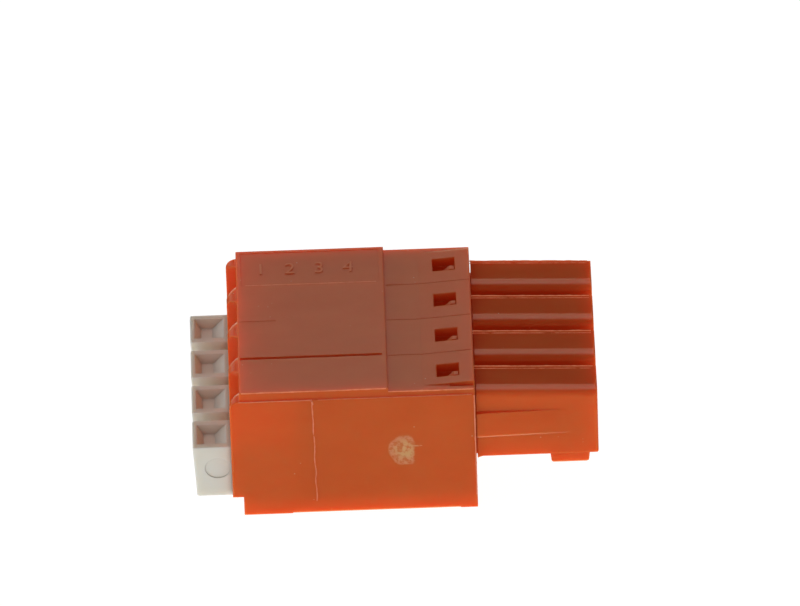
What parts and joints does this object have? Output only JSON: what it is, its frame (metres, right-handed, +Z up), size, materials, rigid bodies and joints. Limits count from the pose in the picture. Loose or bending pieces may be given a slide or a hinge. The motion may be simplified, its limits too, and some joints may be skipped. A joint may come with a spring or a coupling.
{
  "type": "pluggable terminal block",
  "caption": "Orange plug-in terminal block with push-in wire entries, sliding release buttons and a ribbed mating section for a board header.",
  "frame": {"origin": "middle of the block's footprint, on its underside", "axes": "+X towards the mating end, +Z up, +Y across the poles"},
  "size_m": [0.0282, 0.0156, 0.0111],
  "materials": {
    "orange_nylon": "moulded glass-filled plastic, satin",
    "grey_polyamide": "moulded, fine matte",
    "spring_steel": "rolled stainless strip",
    "tinned_copper": "tin-plated, satin"
  },
  "bodies": {
    "housing": {"housing": "orange_nylon", "plug_front": "orange_nylon", "clamp_spring_1": "spring_steel", "contact_1": "tinned_copper", "clamp_spring_2": "spring_steel", "contact_2": "tinned_copper", "clamp_spring_3": "spring_steel", "contact_3": "tinned_copper", "clamp_spring_4": "spring_steel", "contact_4": "tinned_copper"},
    "pusher_1": {"pusher_1": "grey_polyamide"},
    "pusher_2": {"pusher_2": "grey_polyamide"},
    "pusher_3": {"pusher_3": "grey_polyamide"},
    "pusher_4": {"pusher_4": "grey_polyamide"}
  },
  "joints": [
    {"name": "pusher_1_slide", "type": "slide", "parent": "housing", "child": "pusher_1", "axis": [1, 0, 0], "range_m": [0, 0.0015], "stiffness_N_per_m": 1200, "springref_m": -0.0005, "deforming": ["clamp_spring_1"]},
    {"name": "pusher_2_slide", "type": "slide", "parent": "housing", "child": "pusher_2", "axis": [1, 0, 0], "range_m": [0, 0.0015], "stiffness_N_per_m": 1200, "springref_m": -0.0005, "deforming": ["clamp_spring_2"]},
    {"name": "pusher_3_slide", "type": "slide", "parent": "housing", "child": "pusher_3", "axis": [1, 0, 0], "range_m": [0, 0.0015], "stiffness_N_per_m": 1200, "springref_m": -0.0005, "deforming": ["clamp_spring_3"]},
    {"name": "pusher_4_slide", "type": "slide", "parent": "housing", "child": "pusher_4", "axis": [1, 0, 0], "range_m": [0, 0.0015], "stiffness_N_per_m": 1200, "springref_m": -0.0005, "deforming": ["clamp_spring_4"]}
  ]
}
